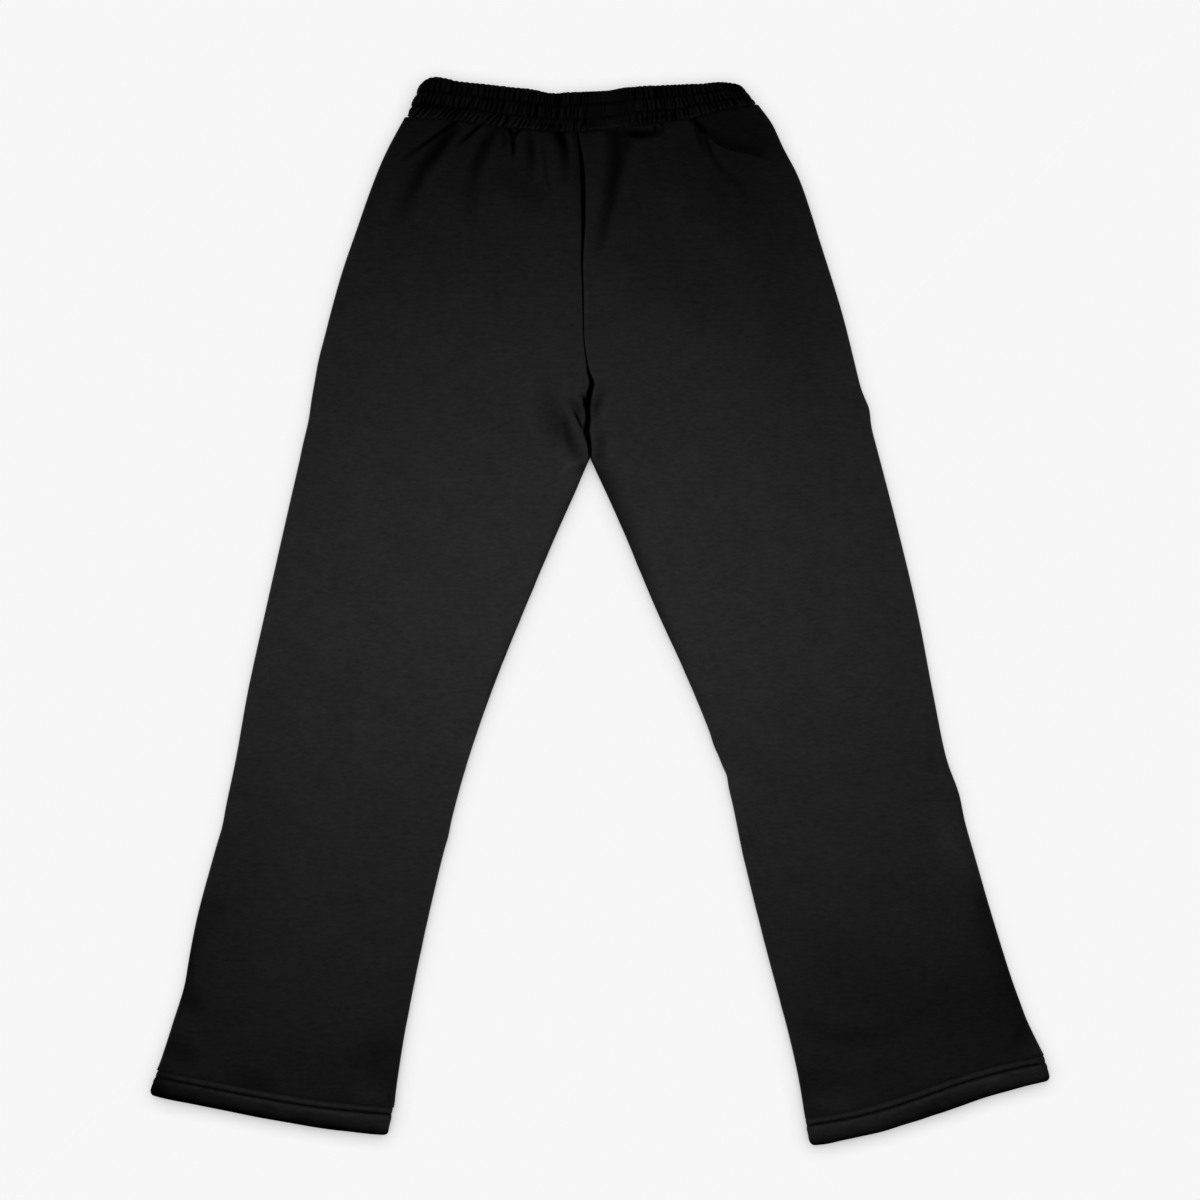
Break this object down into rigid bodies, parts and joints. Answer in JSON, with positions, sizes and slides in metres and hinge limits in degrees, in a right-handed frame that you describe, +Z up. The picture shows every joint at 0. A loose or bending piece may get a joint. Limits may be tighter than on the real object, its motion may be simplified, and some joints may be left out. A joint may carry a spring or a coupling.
{
  "type": "straight-leg sweatpants",
  "caption": "Straight-leg fleece sweatpants laid flat with the back side up: elastic waistband, panelled legs apart, stitched hems.",
  "frame": {"origin": "on the surface the garment lies on, below the middle of its outline", "axes": "+Y towards the waist, +X towards the wearer's right leg, +Z up out of the back side; the front panels lie on the surface"},
  "size_m": [0.8981, 1.066, 0.0134],
  "materials": {
    "fleece": "matt black brushed fleece with a fine knit face",
    "fleece_inside": "matt black brushed fleece, the hidden front",
    "hem": "the same fleece turned up double, two rows of black stitching",
    "casing": "the same fleece gathered over elastic, two stitch rows"
  },
  "bodies": {
    "root": {"left_back": "fleece", "right_back": "fleece", "left_front": "fleece_inside", "right_front": "fleece_inside", "waistband": "casing", "left_hem_back": "hem", "left_hem_front": "hem", "right_hem_back": "hem", "right_hem_front": "hem"}
  },
  "joints": []
}
